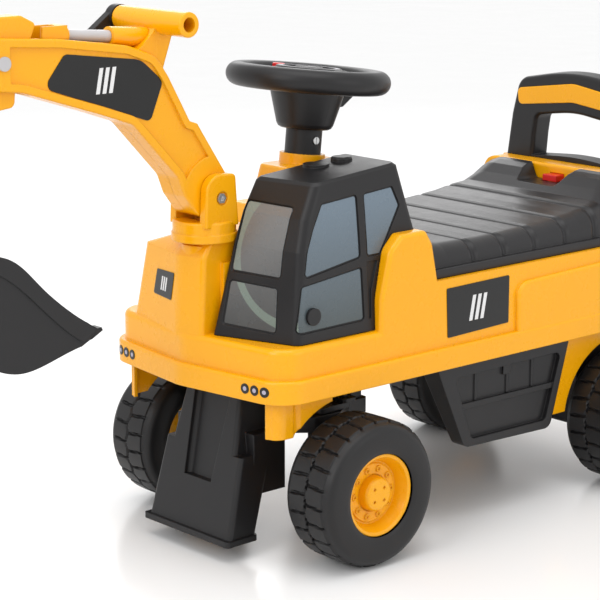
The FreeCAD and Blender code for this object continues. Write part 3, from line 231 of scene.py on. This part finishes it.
def metal(name, colour, rough):
    """Plated steel with fine turning marks."""
    n = Nodes(name)
    stretched = n.add("ShaderNodeMapping", Vector=n.place(), Scale=(40.0, 900.0, 900.0)).outputs["Vector"]
    marks = n.add("ShaderNodeTexNoise", Vector=stretched, Scale=4.0, Detail=4.0).outputs["Fac"]
    n.feed(n.shader.inputs["Base Color"], n.between(marks, shade(colour, 0.8), shade(colour, 1.15)))
    n.feed(n.shader.inputs["Roughness"], n.spread(marks, rough - 0.08, rough + 0.1))
    n.shader.inputs["Metallic"].default_value = 1.0
    n.soft_edges(0.3 * MM, marks, 0.2, 0.03 * MM)
    return n.material


def swoosh_factor(n, place, frontward):
    """Strength of the pale curve: within the outer circle, beyond the inner one, on panes that face ahead."""
    plane = n.add("ShaderNodeCombineXYZ", X=place.outputs["X"], Z=place.outputs["Z"]).outputs["Vector"]
    from_inner = n.distance(plane, SWOOSH_INNER_CENTRE)
    from_outer = n.distance(plane, SWOOSH_OUTER_CENTRE)
    band = n.maths("MULTIPLY", n.maths("GREATER_THAN", from_inner, SWOOSH_INNER_RADIUS),
                   n.maths("LESS_THAN", from_outer, SWOOSH_OUTER_RADIUS))
    return n.maths("MULTIPLY", n.maths("MULTIPLY", band, frontward), SWOOSH_STRENGTH)


def window_film(name):
    """Printed window film: grey that lightens upwards, with one pale curved reflection on the front panes."""
    n = Nodes(name)
    place = n.add("ShaderNodeSeparateXYZ", Vector=n.place())
    rise = n.add("ShaderNodeMapRange", Value=place.outputs["Z"], From_Min=FILM_FOOT, From_Max=FILM_HEAD)
    height = rise.outputs["Result"]
    normal = n.add("ShaderNodeNewGeometry").outputs["True Normal"]
    facing = n.add("ShaderNodeSeparateXYZ", Vector=normal)
    frontward = n.maths("LESS_THAN", facing.outputs["Y"], FRONTWARD)
    side_grey = n.between(height, SIDE_PANE_FOOT, SIDE_PANE_HEAD)
    front_grey = n.between(height, FRONT_PANE_FOOT, FRONT_PANE_HEAD)
    grey = n.between(frontward, side_grey, front_grey)
    swoosh = swoosh_factor(n, place, frontward)
    n.feed(n.shader.inputs["Base Color"], n.between(swoosh, grey, SWOOSH_GREEN))
    n.feed(n.shader.inputs["Roughness"], n.spread(n.noise(70.0, 3.0), 0.2, 0.34))
    n.soft_edges(0.3 * MM, n.noise(900.0), 0.12, 0.04 * MM)
    return n.material


def make_materials():
    """One material for each material slot of the record."""
    return {
        "yellow_plastic": moulded("amber_moulding", AMBER, 0.27, edge=1.6 * MM, relief=0.16, coat=0.08,
                                  uneven=0.025),
        "black_plastic": moulded("black_moulding", BLACK, 0.40, edge=1.2 * MM, grain=1900.0, relief=0.45,
                                 uneven=0.12),
        "seat_plastic": moulded("seat_moulding", SEAT_GREY, 0.33, edge=1.5 * MM, grain=2300.0, relief=0.5,
                                uneven=0.12),
        "tyre_plastic": moulded("tyre_moulding", TYRE_BLACK, 0.44, edge=0.5 * MM, grain=1300.0, relief=0.6,
                                uneven=0.2),
        "window_sticker": window_film("window_film"),
        "black_decal": moulded("decal_film", FILM_BLACK, 0.24, edge=0.3 * MM, relief=0.1, uneven=0.2),
        "lamp_sticker": moulded("lamp_film", FILM_BLACK, 0.3, edge=0.3 * MM, relief=0.1, uneven=0.2),
        "red_plastic": moulded("red_moulding", RED, 0.3, edge=0.6 * MM, relief=0.15, coat=0.2),
        "grey_plastic": moulded("grey_moulding", ROD_GREY, 0.32, edge=0.6 * MM, relief=0.15),
        "steel": metal("plated_steel", STEEL_GREY, 0.32),
    }


def dress_nodes(materials):
    """Gives every CAD node the material of its slot."""
    for entry in frame["record"]["subparts"]:
        node = frame["nodes"][entry["node"]]
        node.data.materials.clear()
        node.data.materials.append(materials[entry["material_slot"]])


# ---- shared mesh work ----
def piece(name, points, faces, material, body):
    """New object from points and faces, which moves with a body."""
    mesh = bpy.data.meshes.new(name)
    mesh.from_pydata([tuple(p) for p in points], [], faces)
    mesh.validate()
    mesh.materials.append(material)
    made = bpy.data.objects.new(name, mesh)
    scene.collection.objects.link(made)
    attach(made, body)
    return made


def smooth(mesh, angle):
    """Smooth shading, apart from edges sharper than angle in degrees."""
    mesh.polygons.foreach_set("use_smooth", [True] * len(mesh.polygons))
    mesh.set_sharp_from_angle(angle=math.radians(angle))


def centre_of(node):
    low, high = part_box(node)
    return (low + high) / 2


def turned_to(axis, centre):
    """Placement at centre with its Z along axis."""
    return Matrix.Translation(centre) @ axis.to_track_quat("Z", "Y").to_matrix().to_4x4()


# ---- tyres ----
def tyre_profile(half, radius, bore):
    """(across, radius, groove depth) from the outer bead round the tread to the inner bead."""
    side = [(half - inset * MM, bore + rise * MM, 0.0) for inset, rise in BEAD]
    side += [(half - inset * MM, radius - drop * MM, depth) for inset, drop, depth in SHOULDER]
    crown = []
    for i in range(CROWN_STEPS + 1):
        across = (half - CROWN_EDGE) * (1 - 2 * i / CROWN_STEPS)
        crown.append((across, radius - CROWN_FALL * (across / half) ** 2, 1.0))
    return side + crown + [(-across, r, depth) for across, r, depth in reversed(side)]


def lug_height(across, turn):
    """0 in a groove and 1 on a lug; turn counts lugs round the tyre."""
    zigzag = ZIGZAG * (4 * abs((turn % 1.0) - 0.5) - 1)
    from_middle = abs(across - zigzag)
    middle = min(1.0, max(0.0, (from_middle - MIDDLE_GROOVE) / MIDDLE_GROOVE))
    shift = 0.0 if across > 0 else 0.5
    along = ((turn + LUG_LEAN * abs(across) + shift) % 1.0) - 0.5
    flank = min(1.0, max(0.0, (LUG_HALF - abs(along)) / LUG_FLANK))
    return middle * flank


def tyre_mesh(material):
    """Tyre about the X axis at the origin, its outer side towards +X."""
    low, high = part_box("tyre_front_left")
    rim_low, rim_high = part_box("rim_front_left")
    half, radius = (high.x - low.x) / 2 - TYRE_INSET, (high.z - low.z) / 2 - TYRE_INSET
    bore = (rim_high.z - rim_low.z) / 2
    profile = tyre_profile(half, radius, bore)
    steps = LUGS * STEPS_PER_LUG
    points, faces = [], []
    for i in range(steps):
        angle = 2 * math.pi * i / steps
        for across, r, depth in profile:
            lug = lug_height(across, i / STEPS_PER_LUG) if depth else 1.0
            sunk = (1.0 - lug) * depth * TREAD_DEPTH
            drawn_in = across - math.copysign(sunk * GROOVE_TAPER, across)
            points.append((drawn_in, (r - sunk) * math.sin(angle), (r - sunk) * math.cos(angle)))
    ring = len(profile)
    for i in range(steps):
        here, following = i * ring, (i + 1) % steps * ring
        for j in range(ring - 1):
            faces.append((here + j, following + j, following + j + 1, here + j + 1))
    mesh = bpy.data.meshes.new("tyre_tread")
    mesh.from_pydata(points, [], faces)
    mesh.validate()
    mesh.materials.append(material)
    smooth(mesh, 32)
    return mesh


def add_tyres(material):
    mesh = tyre_mesh(material)
    for end in ("front", "rear"):
        for side, facing in (("left", 0.0), ("right", math.pi)):
            node = "tyre_" + end + "_" + side
            tyre = bpy.data.objects.new("tread_" + end + "_" + side, mesh)
            scene.collection.objects.link(tyre)
            tyre.matrix_world = Matrix.Translation(centre_of(node)) @ Matrix.Rotation(facing, 4, "Z")
            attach(tyre, "wheel_" + end + "_" + side)
            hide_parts(node)


# ---- printed trim ----
def outer_patches(node, direction, gap):
    """(centre, normal) of each separate group of faces that look along direction.

    Groups are told apart along X, where the middles of neighbouring faces lie further apart than gap."""
    mesh = frame["nodes"][node].data
    found = [p for p in mesh.polygons if p.normal.dot(Vector(direction)) > 0.9]
    found.sort(key=lambda p: p.center.x)
    groups, last = [], None
    for p in found:
        if last is None or p.center.x - last > gap:
            groups.append([])
        groups[-1].append(p)
        last = p.center.x
    patches = []
    for group in groups:
        area = sum(p.area for p in group)
        centre = sum((p.center * p.area for p in group), Vector()) / area
        patches.append((centre, sum((p.normal * p.area for p in group), Vector()).normalized()))
    return patches


def highlit_lamp_lens(name, centre, normal, material, body):
    """Shallow lens of rings that rise to the middle; its pale colour is a painted highlight on the lamp."""
    place = turned_to(normal, centre)
    points, faces = [place @ Vector((0, 0, LENS_RISE))], []
    for i in range(1, LENS_RINGS + 1):
        out = i / LENS_RINGS
        height = LENS_RISE * math.sqrt(max(0.0, 1 - out * out))
        for j in range(LENS_SPOKES):
            angle = 2 * math.pi * j / LENS_SPOKES
            across, along = LENS_RADIUS * out * math.cos(angle), LENS_RADIUS * out * math.sin(angle)
            points.append(place @ Vector((across, along, height)))
    for j in range(LENS_SPOKES):
        following = (j + 1) % LENS_SPOKES
        faces.append((0, 1 + j, 1 + following))
        for i in range(LENS_RINGS - 1):
            inner, outer = 1 + i * LENS_SPOKES, 1 + (i + 1) * LENS_SPOKES
            faces.append((inner + j, outer + j, outer + following, inner + following))
    made = piece(name, points, faces, material, body)
    smooth(made.data, 60)


def add_lamps(material):
    patches = outer_patches("headlamp_stickers", (0, -1, 0), LAMP_GAP)
    for number, (centre, normal) in enumerate(patches):
        highlit_lamp_lens("lamp_lens_%d" % number, centre + normal * FRONT_STANDOFF, normal, material,
                  "chassis")


def add_pad_ring(material):
    """Pale flat ring round the pad in the middle of the steering wheel."""
    steering = next(j for j in frame["record"]["behaviour"]["joints"] if j["name"] == "steering_turn")
    centre, axis = Vector(steering["pos_m"]), Vector(steering["axis"])
    lift = max((v.co - centre).dot(axis) for v in frame["nodes"]["horn_panel"].data.vertices)
    place = turned_to(axis, centre + axis * (lift - PAD_RING_SUNK))
    points, faces = [], []
    for radius in (PAD_RING_INNER, PAD_RING_OUTER):
        for i in range(PAD_RING_SPOKES):
            angle = 2 * math.pi * i / PAD_RING_SPOKES
            points.append(place @ Vector((radius * math.cos(angle), radius * math.sin(angle), 0.0)))
    for i in range(PAD_RING_SPOKES):
        following = (i + 1) % PAD_RING_SPOKES
        faces.append((i, PAD_RING_SPOKES + i, PAD_RING_SPOKES + following, following))
    piece("pad_ring", points, faces, material, "steering")


def slanted_bars(name, centre, across, up, outward, size, material, body):
    """Three slanted bars, each a thin raised film, in place of lettering."""
    points, faces = [], []
    for number in (-1, 0, 1):
        start = len(points)
        for lift in (0.0, BAR_THICKNESS):
            for a, b in BAR_OUTLINE:
                along = (a + BAR_SPACING * number - BAR_SHIFT) * size
                points.append(centre + across * along + up * (b * size) + outward * lift)
        faces.append(tuple(start + k for k in (4, 5, 6, 7)))
        for k in range(4):
            following = (k + 1) % 4
            faces.append((start + k, start + following, start + 4 + following, start + 4 + k))
    piece(name, points, faces, material, body)


def side_bars(name, bounds, sign, rise, size, material, body):
    """Bars on the outer face of a plate; sign is 1 on the left side and -1 on the right."""
    low, high = bounds
    middle = (low + high) / 2
    outer = high.x if sign > 0 else low.x
    face = Vector((outer + sign * SIDE_STANDOFF, middle.y, middle.z + rise))
    outward, along = Vector((sign, 0, 0)), Vector((0, sign, 0))
    slanted_bars(name, face, along, Vector((0, 0, 1)), outward, size, material, body)


def add_marks(material):
    """Plain slanted bars on the badges of both sides, the boom and the front."""
    for side, sign in (("left", 1.0), ("right", -1.0)):
        badge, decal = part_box("side_badge_" + side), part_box("boom_decal_" + side)
        side_bars("side_mark_" + side, badge, sign, 0.0, SIDE_MARK, material, "chassis")
        side_bars("boom_mark_" + side, decal, sign, BOOM_MARK_RISE, BOOM_MARK, material, "boom")
    centre, normal = outer_patches("front_badge", (0, -1, 0), 1.0)[0]
    across = Vector((0, 0, 1)).cross(normal).normalized()
    up = normal.cross(across).normalized()
    slanted_bars("front_mark", centre + normal * FRONT_STANDOFF, across, up, normal, FRONT_MARK, material,
                 "chassis")


# ---- studio ----
def add_floor():
    n = Nodes("studio_floor")
    n.feed(n.shader.inputs["Base Color"], n.between(n.noise(1.5), FLOOR_DARK, FLOOR_LIGHT))
    n.feed(n.shader.inputs["Roughness"], n.spread(n.noise(6.0, 3.0), 0.16, 0.24))
    ground = cad_bounds[0][2]
    signs = ((-1, -1), (1, -1), (1, 1), (-1, 1))
    mesh = bpy.data.meshes.new("floor")
    mesh.from_pydata([(a * FLOOR_REACH, b * FLOOR_REACH, ground) for a, b in signs], [], [(0, 1, 2, 3)])
    mesh.materials.append(n.material)
    floor = bpy.data.objects.new("floor", mesh)
    scene.collection.objects.link(floor)


def add_light(name, place, size, power):
    data = bpy.data.lights.new(name, "AREA")
    data.shape = "RECTANGLE"
    data.size, data.size_y = size
    data.energy = power
    light = bpy.data.objects.new(name, data)
    light.location = place
    light.rotation_euler = (Vector(LIGHT_TARGET) - Vector(place)).to_track_quat("-Z", "Y").to_euler()
    scene.collection.objects.link(light)


def add_studio():
    add_floor()
    for name, place, size, power in LIGHTS:
        add_light(name, place, size, power)
    world = bpy.data.worlds.new("studio_world")
    world.use_nodes = True
    background = world.node_tree.nodes["Background"]
    background.inputs["Color"].default_value = WHITE
    background.inputs["Strength"].default_value = 1.0
    scene.world = world
    scene.view_settings.view_transform = "Standard"


def add_camera():
    """Long lens ahead of the digger on its left, above the steering wheel."""
    data = bpy.data.cameras.new("camera")
    data.lens = LENS_LENGTH
    data.sensor_width = SENSOR_WIDTH
    camera = bpy.data.objects.new("camera", data)
    camera.location = CAMERA_PLACE
    level = math.cos(CAMERA_ELEVATION)
    looking = Vector((-math.sin(CAMERA_AZIMUTH) * level, math.cos(CAMERA_AZIMUTH) * level,
                      -math.sin(CAMERA_ELEVATION)))
    camera.rotation_euler = looking.to_track_quat("-Z", "Y").to_euler()
    scene.collection.objects.link(camera)
    scene.camera = camera


materials = make_materials()
dress_nodes(materials)
add_tyres(materials["tyre_plastic"])
# lamp lenses in pale lilac grey, a painted highlight on each lamp
add_lamps(moulded("lamp_painted_highlight", LAMP_HIGHLIGHT, 0.25, edge=0.2 * MM, relief=0.05))
add_pad_ring(moulded("pad_mauve", PAD_MAUVE, 0.4, edge=0.2 * MM, relief=0.1))
add_marks(moulded("mark_film", SILVER, 0.3, edge=0.2 * MM, relief=0.05))
add_studio()
add_camera()
